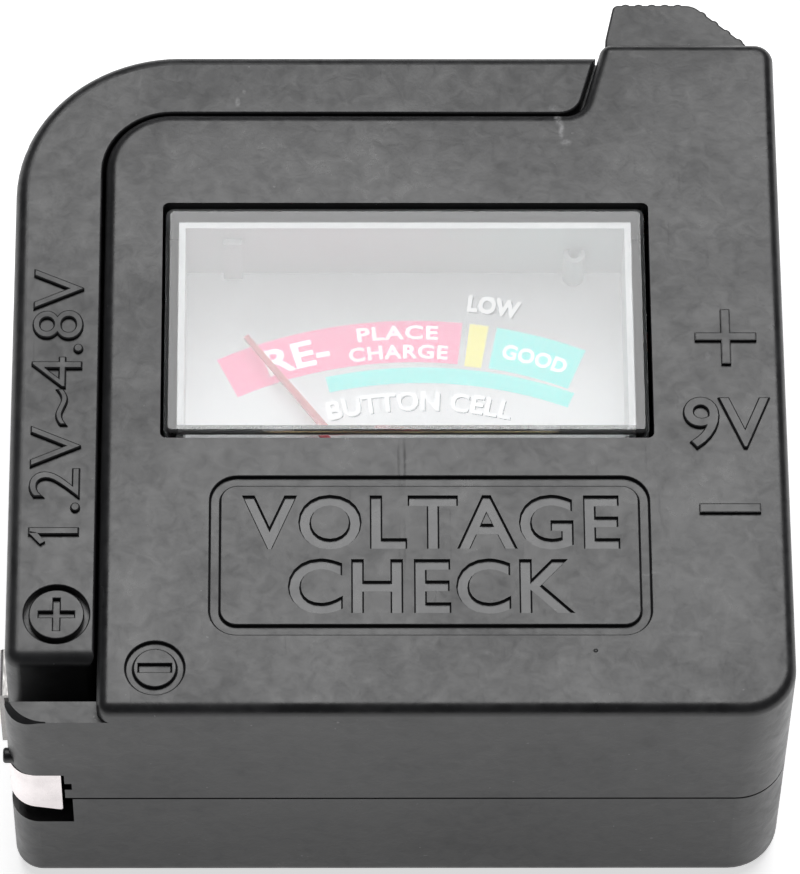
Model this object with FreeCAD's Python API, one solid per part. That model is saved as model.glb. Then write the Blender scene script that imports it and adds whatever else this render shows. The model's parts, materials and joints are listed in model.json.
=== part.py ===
import FreeCAD, Part
import math
import os

# Pocket battery tester with a sliding L-shaped arm and a moving-coil meter.
# It lies on its back: +Z is out of the front face, +X to the right, +Y up the face.
# While it is built, X = 0 is the case's left side, Y = 0 its lower side, Z = 0 its back.
# save() then moves the origin to the middle of the whole tester's box, at the back.
# Lengths are in millimetres.

Vector = FreeCAD.Vector
UP = Vector(0, 0, 1)
PARTS_FOLDER = "parts"

# Case
CASE_WIDTH = 60.0
CASE_HEIGHT = 60.0
CASE_DEPTH = 28.0
SPLIT_Z = 13.5
PARTING_GAP = 0.22
WALL = 1.5
SKIN = 1.6
CORNER_LOWER_LEFT = 2.2
CORNER_LOWER_RIGHT = 4.0
CORNER_UPPER_RIGHT = 1.5
CORNER_UPPER_LEFT = 12.8
BACK_ROUNDING = 1.4
FRONT_ROUNDING = 0.95

# Step on which the arm slides, left of and above the raised front
STEP_Z = 19.0
STEP_THICKNESS = 1.6
STEP_UNDERSIDE_Z = STEP_Z - STEP_THICKNESS
RAISED_LEFT = 7.05
RAISED_TOP = 53.35
INNER_CORNER = 5.2
BLOCK_LEFT_FOOT = 44.6
BLOCK_LEFT_HEAD = 46.4
BLOCK_UNDERSIDE_Z = 26.0
LUG_TOP_Z = 26.2
LUG_HEIGHT = 1.8
LUG_ARC_CENTRE = 3.2
PIP_RADIUS = 0.6
PIP_PROUD = 0.35
PIP_Y = 1.4
PIP_Z = 18.0

# Sliding arm
ARM_CLEARANCE = 0.25
ARM_WIDTH = RAISED_LEFT - ARM_CLEARANCE
ARM_END_Y = 4.6
ARM_TOP_EDGE = 59.2
ARM_BOTTOM_Z = STEP_Z + 0.2
ARM_FRONT_Z = 27.4
ARM_WALL = 1.3
ARM_OUTER_ROUNDING = 1.1
ARM_INNER_ROUNDING = 0.2
ARM_END_SLANT_GAP = 0.3
BAR_LOW_EDGE = RAISED_TOP + ARM_CLEARANCE
BAR_RIGHT_END = 58.1
BAR_FRONT_Z = BLOCK_UNDERSIDE_Z - 0.3
TAB_LEFT = 46.6
TAB_RIGHT = 58.1
TAB_TOP = 65.28
TAB_CREST = 0.12
TAB_FRONT_Z = 25.2
TRAVEL = 50.4
NECK_LEFT = 56.0
NECK_RIGHT = BAR_RIGHT_END
NECK_LOW_Y = 53.75
NECK_HIGH_Y = 55.85
SHOE_SCREW_AT = (57.0, 54.8)
SHOE_UNDERSIDE_Z = 15.4

# Contacts
NICKEL = 0.4
TONGUE_LEFT = -0.75
TONGUE_LOW_Z = 11.5
CELL_SLOT_RIGHT = 4.3
CELL_SLOT_STEP = 4.85
CELL_NOTCH_LOW_Z = 14.9
CELL_NOTCH_TOP_Z = 15.9
CELL_SLOT_LOW_Z = 9.4
CELL_SLOT_TOP_Z = 17.3
CELL_SLOT_UPPER_Y = 9.8
SNAP_SPACING = 12.7
SNAP_CENTRE_Y = 25.0
SNAP_SLOT = 5.8
SNAP_Z = 13.0

# Window and meter
WINDOW = (11.6, 49.7, 23.7, 44.9)
COVER = (11.85, 49.35, 24.3, 44.65)
COVER_FRONT_Z = 27.75
COVER_WALL = 1.0
METER_LOW_Y = 8.6
METER_BACK_Z = 4.6
METER_RIM_Z = 19.3
METER_WALL = 1.2
SKIRT_FRONT_Z = 25.9
DIAL_THICKNESS = 0.5
PIVOT_X = 31.1
PIVOT_Y = 19.4
POINTER_LENGTH = 21.6
POINTER_REST_DEG = 37.0
POINTER_Z = 20.7
CORE_RADIUS = 4.0
YOKE_INNER = 7.2
YOKE_OUTER = 8.7
COIL_INNER = 5.0
COIL_OUTER = 6.2
COIL_LOW_Z = 7.6
COIL_TOP_Z = 18.4
PIVOT_RADIUS = 0.3
JEWEL_BORE = 0.35
BRIDGE_LOW_Z = 22.6
BRIDGE_POST_OFFSET = 10.5
DIAL_SCREW_OFFSET = 15.0
DIAL_SCREW_Y = 25.0
DIAL_LOW_Y = 22.4

# Sunk marks on the front
TITLE_FRAME = (15.5, 49.15, 6.6, 20.3)
TITLE_BAND = 0.8
TITLE_CORNER = 2.1
MARK_DEPTH = 0.35
MARK_FOOT_ROUNDING = 0.14
MARK_EDGE_ROUNDING = 0.12
MINUS_AT = (11.45, 3.75)
MINUS_RADIUS = 2.25
MINUS_BAND = 0.6
PLUS_AT = (3.9, 8.65)
PLUS_RADIUS = 2.5
PLUS_BAND = 0.38
PLUS_RING_DEPTH = 0.8
PLUS_DEPTH = 0.35

# Fasteners and leads
SCREWS_AT = [(11.2, 4.6), (54.6, 4.8), (10.2, 47.3), (55.0, 47.3)]
POST_RADIUS = 2.2
BOSS_RADIUS = 2.5
SHANK_RADIUS = 0.95
HEAD_RADIUS = 1.9
POST_END_Z = 12.1
LEAD_RADIUS = 0.5
RESISTOR_Y = 47.8
RESISTOR_Z = 6.0
RESISTOR_WIRE = 3.5
LOAD_LEFT = 17.5
LOAD_LENGTH = 7.0
SERIES_LEFT = 31.5
SERIES_LENGTH = 6.0
SERIES_END = SERIES_LEFT + SERIES_LENGTH + RESISTOR_WIRE

ORIGIN_X = (TONGUE_LEFT + CASE_WIDTH) / 2
ORIGIN_Y = (TAB_TOP + TAB_CREST) / 2


def save(name, shape):
    """Write one node, with the origin under the middle of the whole tester."""
    moved = shape.copy()
    moved.translate(Vector(-ORIGIN_X, -ORIGIN_Y, 0))
    moved.exportStep(os.path.join(PARTS_FOLDER, name + ".step"))


def block(x0, x1, y0, y1, z0, z1):
    return Part.makeBox(x1 - x0, y1 - y0, z1 - z0, Vector(x0, y0, z0))


def rod(x, y, z0, z1, radius):
    return Part.makeCylinder(radius, z1 - z0, Vector(x, y, z0), UP)


def join(shapes):
    whole = shapes[0]
    for shape in shapes[1:]:
        whole = whole.fuse(shape)
    return whole.removeSplitter()


def outline(corners):
    """Face in the XY plane from (x, y, radius) corners, each rounded by an arc."""
    spots = [Vector(x, y, 0) for x, y, _ in corners]
    count = len(corners)
    edges = []
    ends = []
    for index, (_, _, radius) in enumerate(corners):
        here = spots[index]
        back = (spots[index - 1] - here).normalize()
        ahead = (spots[(index + 1) % count] - here).normalize()
        if radius == 0:
            ends.append((here, here))
            continue
        half = back.getAngle(ahead) / 2
        reach = radius / math.tan(half)
        start = here + back * reach
        stop = here + ahead * reach
        inward = (back + ahead).normalize()
        middle = here + inward * (radius / math.sin(half) - radius)
        edges.append(Part.Arc(start, middle, stop).toShape())
        ends.append((start, stop))
    for index in range(count):
        start = ends[index][1]
        stop = ends[(index + 1) % count][0]
        if start.distanceToPoint(stop) > 1e-6:
            edges.append(Part.LineSegment(start, stop).toShape())
    return Part.Face(Part.Wire(Part.__sortEdges__(edges)))


def raise_face(face, z0, z1):
    base = face.copy()
    base.translate(Vector(0, 0, z0))
    return base.extrude(Vector(0, 0, z1 - z0))


def prism(corners, z0, z1):
    return raise_face(outline(corners), z0, z1)


def round_edges_at(solid, z, radius):
    """Round every edge that lies wholly in the plane at height z."""
    edges = []
    for edge in solid.Edges:
        box = edge.BoundBox
        if abs(box.ZMin - z) < 1e-4 and abs(box.ZMax - z) < 1e-4:
            edges.append(edge)
    return solid.makeFillet(radius, edges)


def ring(x, y, z0, z1, inner, outer):
    return rod(x, y, z0, z1, outer).cut(rod(x, y, z0, z1, inner))


def lead(points, radius):
    """Round wire through the points: straight runs joined by tangent arcs."""
    spots = [Vector(*point) for point in points]
    edges = []
    start = spots[0]
    for index in range(1, len(spots) - 1):
        corner = spots[index]
        back = spots[index - 1] - corner
        ahead = spots[index + 1] - corner
        reach = 0.45 * min(back.Length, ahead.Length)
        back.normalize()
        ahead.normalize()
        half = back.getAngle(ahead) / 2
        bend = reach * math.tan(half)
        enter = corner + back * reach
        leave = corner + ahead * reach
        inward = (back + ahead).normalize()
        middle = corner + inward * (bend / math.sin(half) - bend)
        edges.append(Part.LineSegment(start, enter).toShape())
        edges.append(Part.Arc(enter, middle, leave).toShape())
        start = leave
        print("lead bend radius", round(bend, 2))
    edges.append(Part.LineSegment(start, spots[-1]).toShape())
    path = Part.Wire(edges)
    section = Part.Wire(Part.Circle(spots[0], spots[1] - spots[0], radius).toShape())
    return path.makePipeShell([section], True, False)


def case_face():
    return outline([
        (0, 0, CORNER_LOWER_LEFT),
        (CASE_WIDTH, 0, CORNER_LOWER_RIGHT),
        (CASE_WIDTH, CASE_HEIGHT, CORNER_UPPER_RIGHT),
        (0, CASE_HEIGHT, CORNER_UPPER_LEFT)])


def raised_front():
    """The front that stands above the arm's step, with its block at the upper right."""
    solid = prism([
        (RAISED_LEFT, 0, 1.0),
        (CASE_WIDTH, 0, CORNER_LOWER_RIGHT),
        (CASE_WIDTH, CASE_HEIGHT, CORNER_UPPER_RIGHT),
        (BLOCK_LEFT_HEAD, CASE_HEIGHT, 1.0),
        (BLOCK_LEFT_FOOT, RAISED_TOP, 1.6),
        (RAISED_LEFT, RAISED_TOP, INNER_CORNER)], STEP_UNDERSIDE_Z, CASE_DEPTH)
    return round_edges_at(solid, CASE_DEPTH, FRONT_ROUNDING)


def contact_slots():
    """Openings through the side walls for the cell strip and the two snap contacts."""
    slot = join([
        block(-1, CELL_SLOT_RIGHT, -1, CELL_SLOT_UPPER_Y, CELL_SLOT_LOW_Z, CELL_SLOT_TOP_Z),
        block(-1, CELL_SLOT_STEP, -1, WALL + 1, CELL_SLOT_LOW_Z, SPLIT_Z),
        block(-1, CELL_SLOT_STEP, -1, WALL + 1, CELL_NOTCH_LOW_Z, CELL_NOTCH_TOP_Z)])
    cuts = [slot]
    for side in (-1, 1):
        y = SNAP_CENTRE_Y + side * SNAP_SPACING / 2
        half = SNAP_SLOT / 2
        cuts.append(block(CASE_WIDTH - WALL - 1, CASE_WIDTH + 1,
                          y - half, y + half, SNAP_Z - half, SNAP_Z + half))
    return Part.makeCompound(cuts)


def title_frame():
    """Rounded band sunk into the front below the window."""
    left, right, low, top = TITLE_FRAME
    band = TITLE_BAND
    radius = TITLE_CORNER
    floor_z = CASE_DEPTH - MARK_DEPTH
    outer = prism([(left, low, radius), (right, low, radius),
                   (right, top, radius), (left, top, radius)], floor_z, CASE_DEPTH + 1)
    inner = prism([(left + band, low + band, radius - band), (right - band, low + band, radius - band),
                   (right - band, top - band, radius - band), (left + band, top - band, radius - band)],
                  floor_z, CASE_DEPTH + 1)
    return round_edges_at(outer.cut(inner), floor_z, MARK_FOOT_ROUNDING)


def minus_mark():
    """Ring and bar sunk at the lower left of the raised front."""
    x, y = MINUS_AT
    floor_z = CASE_DEPTH - MARK_DEPTH
    bar = block(x - 1.25, x + 1.25, y - 0.35, y + 0.35, floor_z, CASE_DEPTH + 1)
    circle = ring(x, y, floor_z, CASE_DEPTH + 1, MINUS_RADIUS - MINUS_BAND, MINUS_RADIUS)
    shapes = [round_edges_at(shape, floor_z, MARK_FOOT_ROUNDING) for shape in (circle, bar)]
    return Part.makeCompound(shapes)


def soften_marks(solid, z, spans):
    """Round the edges at height z that lie inside the (left, right, low, top) spans."""
    edges = []
    for edge in solid.Edges:
        box = edge.BoundBox
        if abs(box.ZMin - z) > 1e-4 or abs(box.ZMax - z) > 1e-4:
            continue
        for left, right, low, top in spans:
            if box.XMin > left and box.XMax < right and box.YMin > low and box.YMax < top:
                edges.append(edge)
    return solid.makeFillet(MARK_EDGE_ROUNDING, edges)


def span_round(centre, reach):
    return (centre[0] - reach, centre[0] + reach, centre[1] - reach, centre[1] + reach)


def lug_bevel():
    """Crescent cut from the lug's outer corner, outside a cone round LUG_ARC_CENTRE."""
    centre = LUG_ARC_CENTRE
    drop = 0.9
    low_z = LUG_TOP_Z - drop
    around = block(-1, centre, -1, centre, low_z, LUG_TOP_Z + 0.2)
    radius = centre - 0.08
    kept = Part.makeCone(radius + drop, radius - 0.2, drop + 0.2, Vector(centre, centre, low_z), UP)
    return around.cut(kept)


def side_pip():
    """Small moulded pip on the left side, above the cell strip's slot."""
    pip = Part.makeCylinder(PIP_RADIUS, PIP_PROUD + 0.8, Vector(-PIP_PROUD, PIP_Y, PIP_Z), Vector(1, 0, 0))
    tip = [edge for edge in pip.Edges if abs(edge.BoundBox.XMax + PIP_PROUD) < 1e-4]
    return pip.makeFillet(0.2, tip)


def make_front_shell():
    lug = raise_face(case_face(), STEP_UNDERSIDE_Z, LUG_TOP_Z)
    lug = lug.common(block(0, RAISED_LEFT + 2, 0, LUG_HEIGHT, STEP_UNDERSIDE_Z, LUG_TOP_Z))
    lug = lug.cut(lug_bevel())
    shell = join([raise_face(case_face(), SPLIT_Z, STEP_Z), raised_front(), lug])
    under_step = raise_face(case_face().makeOffset2D(-WALL), SPLIT_Z - 1, STEP_UNDERSIDE_Z)
    inside_left = RAISED_LEFT + WALL
    inside_right = CASE_WIDTH - WALL
    inside_top = RAISED_TOP - WALL
    under_front = prism([
        (inside_left, WALL, 0.5), (inside_right, WALL, CORNER_LOWER_RIGHT - WALL),
        (inside_right, inside_top, 0.5), (inside_left, inside_top, INNER_CORNER - WALL)],
        SPLIT_Z, CASE_DEPTH - SKIN)
    tunnel = block(BLOCK_LEFT_FOOT - 3, inside_right, RAISED_TOP, CASE_HEIGHT + 1,
                   STEP_Z, BLOCK_UNDERSIDE_Z)
    neck_slot = block(NECK_LEFT - TRAVEL - 0.3, inside_right - 0.1, NECK_LOW_Y - ARM_CLEARANCE,
                      NECK_HIGH_Y + ARM_CLEARANCE, STEP_UNDERSIDE_Z - 1, STEP_Z + 0.1)
    tongue_notch = block(-1, 2.4, 5.0, 11.0, STEP_UNDERSIDE_Z - 1, STEP_Z + 0.1)
    x0, x1, y0, y1 = WINDOW
    window = prism([(x0, y0, 0.5), (x1, y0, 0.5), (x1, y1, 0.5), (x0, y1, 0.5)],
                   CASE_DEPTH - SKIN - 1, CASE_DEPTH + 1)
    for cut in (under_step, under_front, tunnel, neck_slot, tongue_notch, window,
                title_frame(), minus_mark()):
        shell = shell.cut(cut)
    left, right, low, top = TITLE_FRAME
    frame_span = (left - 0.1, right + 0.1, low - 0.1, top + 0.1)
    shell = soften_marks(shell, CASE_DEPTH, [frame_span, span_round(MINUS_AT, MINUS_RADIUS + 0.1)])
    posts = [rod(x, y, POST_END_Z, CASE_DEPTH - SKIN + 0.2, POST_RADIUS) for x, y in SCREWS_AT]
    shell = join([shell, side_pip()] + posts)
    for x, y in SCREWS_AT:
        shell = shell.cut(rod(x, y, POST_END_Z - 1, 24.0, SHANK_RADIUS + 0.02))
    return shell.cut(contact_slots())


def make_rear_shell():
    face = case_face()
    outer = round_edges_at(raise_face(face, 0, SPLIT_Z - PARTING_GAP), 0, BACK_ROUNDING)
    shell = outer.cut(raise_face(face.makeOffset2D(-WALL), SKIN, SPLIT_Z + 1))
    lip_outer = raise_face(face.makeOffset2D(-WALL - 0.05), SPLIT_Z - 1.5, SPLIT_Z + 1.2)
    lip = lip_outer.cut(raise_face(face.makeOffset2D(-WALL - 0.7), SPLIT_Z - 1.5, SPLIT_Z + 1.2))
    bridge = raise_face(face.makeOffset2D(-WALL + 0.1), SPLIT_Z - 1.5, SPLIT_Z - 0.3)
    bridge = bridge.cut(raise_face(face.makeOffset2D(-WALL - 0.3), SPLIT_Z - 1.5, SPLIT_Z - 0.3))
    bosses = [rod(x, y, SKIN - 0.2, POST_END_Z - 0.1, BOSS_RADIUS) for x, y in SCREWS_AT]
    pillars = [rod(x, y, SKIN - 0.2, METER_BACK_Z - 0.05, 1.5) for x in (16, 46) for y in (12, 41)]
    ribs = [block(x, x + 1.2, 50.4, 53.6, SKIN - 0.2, SPLIT_Z + 0.2) for x in (8, 30, 50)]
    shell = join([shell, bridge, lip] + bosses + pillars + ribs)
    for x, y in SCREWS_AT:
        shell = shell.cut(rod(x, y, -1, POST_END_Z + 1, SHANK_RADIUS + 0.15))
        shell = shell.cut(rod(x, y, -1, 2.4, HEAD_RADIUS + 0.2))
    return shell.cut(contact_slots())


def cross_head(x, y, z_face, z_seat, direction):
    """Screw head with a cross recess; direction is the way its face looks along Z."""
    head = rod(x, y, min(z_face, z_seat), max(z_face, z_seat), HEAD_RADIUS)
    head = round_edges_at(head, z_face, 0.45)
    depth = 0.9
    low = z_face - depth if direction > 0 else z_face
    for half_x, half_y in ((1.1, 0.22), (0.22, 1.1)):
        head = head.cut(block(x - half_x, x + half_x, y - half_y, y + half_y, low, low + depth))
    return head


def make_case_screws():
    screws = []
    for x, y in SCREWS_AT:
        shank = rod(x, y, 2.4, 19.0, SHANK_RADIUS)
        tip = Part.makeCone(SHANK_RADIUS, 0.2, 2.0, Vector(x, y, 19.0), UP)
        screws.append(join([cross_head(x, y, 0.8, 2.4, -1), shank, tip]))
    return Part.makeCompound(screws)


def arm_plan(inset, right_end):
    """Plan of the L-shaped arm, shrunk by inset on every side."""
    return outline([
        (inset, ARM_END_Y + inset, max(1.2 - inset, 0.3)),
        (ARM_WIDTH - inset, ARM_END_Y + inset, max(1.2 - inset, 0.3)),
        (ARM_WIDTH - inset, BAR_LOW_EDGE + inset, INNER_CORNER + ARM_CLEARANCE + inset),
        (right_end[0] - inset, BAR_LOW_EDGE + inset, right_end[2]),
        (right_end[1] - inset, ARM_TOP_EDGE - inset, 0.3),
        (inset, ARM_TOP_EDGE - inset, CORNER_UPPER_LEFT - inset)])


def arm_block():
    """Full-height part of the arm: widely rounded outer edges, nearly sharp inner edges."""
    spare = 2.0
    foot = BLOCK_LEFT_FOOT - ARM_END_SLANT_GAP
    head = BLOCK_LEFT_HEAD - ARM_END_SLANT_GAP - 0.2
    lean = (head - foot) / (ARM_TOP_EDGE - BAR_LOW_EDGE)
    outer = prism([
        (0, ARM_END_Y, 1.2),
        (ARM_WIDTH + spare, ARM_END_Y, 0),
        (ARM_WIDTH + spare, BAR_LOW_EDGE - spare, 3),
        (head + 2 * spare, BAR_LOW_EDGE - spare, 0),
        (head + 2 * spare, ARM_TOP_EDGE, 0),
        (0, ARM_TOP_EDGE, CORNER_UPPER_LEFT)], ARM_BOTTOM_Z, ARM_FRONT_Z)
    outer = round_edges_at(outer, ARM_FRONT_Z, ARM_OUTER_ROUNDING)
    inner = prism([
        (-spare, ARM_END_Y, 0),
        (ARM_WIDTH, ARM_END_Y, 0.6),
        (ARM_WIDTH, BAR_LOW_EDGE, INNER_CORNER + ARM_CLEARANCE),
        (foot, BAR_LOW_EDGE, 1.9),
        (head + lean * spare, ARM_TOP_EDGE + spare, 0),
        (-spare, ARM_TOP_EDGE + spare, 0)], ARM_BOTTOM_Z, ARM_FRONT_Z)
    inner = round_edges_at(inner, ARM_FRONT_Z, ARM_INNER_ROUNDING)
    return outer.common(inner)


def thumb_tab():
    """Thumb tab above the bar's right end, with shallow grip ribs that run along Z."""
    low = ARM_BOTTOM_Z + 0.3
    slope_start = 53.9
    slope_foot_y = 61.5
    body = prism([
        (TAB_LEFT, ARM_TOP_EDGE - 1.5, 0), (TAB_RIGHT, ARM_TOP_EDGE - 1.5, 0),
        (TAB_RIGHT, slope_foot_y, 0.6), (slope_start, TAB_TOP, 1.6), (TAB_LEFT + 0.9, TAB_TOP, 0.5),
        (TAB_LEFT + 0.2, 62.0, 0.5)], low, TAB_FRONT_Z)
    body = round_edges_at(body, TAB_FRONT_Z, 0.2)
    rib_radius = 0.5
    depth = rib_radius - TAB_CREST
    spots = [(48.5 + 1.05 * step, TAB_TOP - depth) for step in range(5)]
    run = TAB_RIGHT - slope_start
    rise = slope_foot_y - TAB_TOP
    length = math.hypot(run, rise)
    for step in range(4):
        share = (step + 0.9) / 4.4
        spots.append((slope_start + run * share + rise / length * depth,
                      TAB_TOP + rise * share - run / length * depth))
    ribs = []
    for x, y in spots:
        rib = rod(x, y, low, TAB_FRONT_Z, rib_radius)
        ribs.append(round_edges_at(rib, TAB_FRONT_Z, 0.2))
    return join([body] + ribs)


def make_arm_cover():
    """Moulded L-shaped arm: full height left of the block, lower where it runs under it."""
    bar = block(40, BAR_RIGHT_END, BAR_LOW_EDGE, ARM_TOP_EDGE, ARM_BOTTOM_Z, BAR_FRONT_Z)
    arm = join([arm_block(), bar, thumb_tab()])
    hollow = raise_face(arm_plan(ARM_WALL, (50.0, 50.0, 0.3)), ARM_BOTTOM_Z - 1, BAR_FRONT_Z - 1.4)
    arm = arm.cut(hollow)
    tongue_way = block(0.9, 2.2, 5.8, 10.2, ARM_BOTTOM_Z - 0.1, 25.0)
    arm = arm.cut(tongue_way)
    arm = arm.cut(rod(*SHOE_SCREW_AT, ARM_BOTTOM_Z - 1, 24.0, 0.62))
    return engrave_plus(arm)


def engrave_plus(arm):
    """Deep ring and shallower cross sunk into the arm's lower end."""
    x, y = PLUS_AT
    high = ARM_FRONT_Z + 1
    ring_floor = ARM_FRONT_Z - PLUS_RING_DEPTH
    arm = arm.cut(ring(x, y, ring_floor, high, PLUS_RADIUS - PLUS_BAND, PLUS_RADIUS))
    low = ARM_FRONT_Z - PLUS_DEPTH
    arm = arm.cut(join([
        block(x - half_x, x + half_x, y - half_y, y + half_y, low, high)
        for half_x, half_y in ((1.35, 0.24), (0.24, 1.35))]))
    return soften_marks(arm, ARM_FRONT_Z, [span_round(PLUS_AT, PLUS_RADIUS + 0.1)])


def make_arm_base():
    """Flat plate that closes the arm's underside."""
    gap = 0.04
    plate = raise_face(arm_plan(ARM_WALL + gap, (49.9, 49.9, 0.3)), ARM_BOTTOM_Z, ARM_BOTTOM_Z + 1)
    return plate.cut(block(0, 2.25, 5.7, 10.3, ARM_BOTTOM_Z - 1, ARM_BOTTOM_Z + 2))


def make_arm_contact():
    """Nickel strip: a leg inside the arm, a fold under its wall and a tongue outside."""
    low_y, high_y = 6.0, 10.0
    inside = block(1.35, 1.35 + NICKEL, low_y, high_y, ARM_BOTTOM_Z - 0.5, 24.5)
    fold = block(TONGUE_LEFT, 1.35 + NICKEL, low_y, high_y, ARM_BOTTOM_Z - 0.5, ARM_BOTTOM_Z - 0.1)
    tongue = block(TONGUE_LEFT, TONGUE_LEFT + NICKEL, low_y, high_y,
                   TONGUE_LOW_Z, ARM_BOTTOM_Z - 0.1)
    strip = join([inside, fold, tongue])
    bends = []
    for edge in strip.Edges:
        box = edge.BoundBox
        along_y = box.YLength > 3.5
        outer_bend = abs(box.XMin - TONGUE_LEFT) < 1e-4 and abs(box.ZMin - ARM_BOTTOM_Z + 0.1) < 1e-4
        if along_y and outer_bend:
            bends.append(edge)
    return strip.makeFillet(0.35, bends)


def make_slider_shoe():
    """Foot under the step, with the neck that passes up through the slot to the arm."""
    foot = prism([(53.8, 50.0, 0.3), (NECK_RIGHT, 50.0, 0.3), (NECK_RIGHT, 55.2, 0.3),
                  (NECK_LEFT, 55.2, 0.3), (53.8, 53.2, 0.3)],
                 SHOE_UNDERSIDE_Z, STEP_UNDERSIDE_Z - ARM_CLEARANCE)
    neck = block(NECK_LEFT, NECK_RIGHT, NECK_LOW_Y, NECK_HIGH_Y, 16.9, ARM_BOTTOM_Z)
    shoe = join([foot, neck])
    return shoe.cut(rod(*SHOE_SCREW_AT, 14, 20, 0.62))


def make_shoe_screw():
    x, y = SHOE_SCREW_AT
    low = SHOE_UNDERSIDE_Z - 0.6
    shank = rod(x, y, SHOE_UNDERSIDE_Z, 23.5, 0.6)
    head = round_edges_at(rod(x, y, low, SHOE_UNDERSIDE_Z, 1.1), low, 0.2)
    slot = block(x - 0.2, x + 0.2, y - 1.2, y + 1.2, low, low + 0.3)
    return head.fuse(shank).cut(slot)


def make_wiper_spring():
    """Bowed leaf under the shoe; its lowest line runs just above the pickup strip."""
    low_y, high_y = 50.6, 52.8
    sagitta, half_span = 1.6, 1.9
    radius = (half_span ** 2 + sagitta ** 2) / (2 * sagitta)
    middle_x = 56.0
    lowest = SPLIT_Z + 0.85
    centre = Vector(middle_x, low_y, lowest + radius)
    along = Vector(0, 1, 0)
    tube = Part.makeCylinder(radius, high_y - low_y, centre, along)
    tube = tube.cut(Part.makeCylinder(radius - 0.25, high_y - low_y, centre, along))
    window = block(middle_x - 3, middle_x + 3, low_y, high_y, lowest - 1, SHOE_UNDERSIDE_Z)
    return tube.common(window)


def make_pickup_strip():
    """Brass rail, fixed to the rear shell, along which the wiper slides."""
    low_z = SPLIT_Z + 0.2
    left, right = 7.6, CASE_WIDTH - WALL - 0.9
    return prism([(left, 50.7, 0.5), (right, 50.7, 0.5), (right, 53.2, 0.5), (left, 53.2, 0.5)],
                 low_z, low_z + 0.5)


def make_cell_negative():
    """Nickel strip wrapped round the lower left corner, with a solder leg inside."""
    left, low_y = 0.0, 0.1
    top_z = CELL_SLOT_TOP_Z - 0.1
    free_end = 4.05
    reach_y = 9.4
    corner = 1.9
    outer = prism([(left, low_y, corner), (free_end, low_y, 0), (free_end, reach_y, 0),
                   (left, reach_y, 0)], CELL_SLOT_LOW_Z + 1.4, top_z)
    inner = prism([(left + NICKEL, low_y + NICKEL, corner - NICKEL), (20, low_y + NICKEL, 0),
                   (20, reach_y + 1, 0), (left + NICKEL, reach_y + 1, 0)],
                  CELL_SLOT_LOW_Z, top_z + 1)
    strip = outer.cut(inner)
    wedge = Part.Face(Part.makePolygon([
        Vector(-1, -1, CELL_SLOT_LOW_Z), Vector(free_end + 0.3, -1, CELL_SLOT_LOW_Z),
        Vector(free_end + 0.3, -1, CELL_SLOT_LOW_Z + 1.8), Vector(-1, -1, CELL_SLOT_LOW_Z + 3.2),
        Vector(-1, -1, CELL_SLOT_LOW_Z)])).extrude(Vector(0, 20, 0))
    strip = strip.cut(wedge)
    ends = []
    for edge in strip.Edges:
        box = edge.BoundBox
        if box.XMin > free_end - 0.01 and box.XLength < 0.01 and abs(box.YLength - NICKEL) < 0.01:
            ends.append(edge)
    strip = strip.makeFillet(0.2, ends)
    leg = block(left + 0.05, 3.6, reach_y - NICKEL, reach_y, 12.2, 15.6)
    return join([strip, leg])


def make_snap_contact(side):
    """Pressed plate behind the right wall; its pad stands in the wall's opening."""
    y = SNAP_CENTRE_Y + side * SNAP_SPACING / 2
    back_x = CASE_WIDTH - WALL - 1.15
    plate = block(back_x, back_x + NICKEL, y - 3.9, y + 3.9, SNAP_Z - 4.2, SNAP_Z + 4.2)
    pad = Part.makeCylinder(2.4, CASE_WIDTH - 0.15 - back_x, Vector(back_x, y, SNAP_Z), Vector(1, 0, 0))
    rim = []
    for edge in pad.Edges:
        if abs(edge.BoundBox.XMin - (CASE_WIDTH - 0.15)) < 1e-4:
            rim.append(edge)
    return join([plate, pad.makeFillet(0.6, rim)])


def make_meter_cover():
    """Clear cover: the window box, and a lower skirt hidden behind the front."""
    x0, x1, y0, y1 = COVER
    wall = COVER_WALL
    window = prism([(x0, y0, 0.6), (x1, y0, 0.6), (x1, y1, 0.6), (x0, y1, 0.6)],
                   METER_RIM_Z, COVER_FRONT_Z)
    window = round_edges_at(window, COVER_FRONT_Z, 0.4)
    skirt = block(x0, x1, METER_LOW_Y, y0 + wall, METER_RIM_Z, SKIRT_FRONT_Z)
    cover = join([window, skirt])
    cover = cover.cut(block(x0 + wall, x1 - wall, METER_LOW_Y + wall, y1 - wall,
                            METER_RIM_Z - 1, SKIRT_FRONT_Z - wall))
    return cover.cut(block(x0 + wall, x1 - wall, y0 + wall, y1 - wall,
                           METER_RIM_Z, COVER_FRONT_Z - wall))


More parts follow.
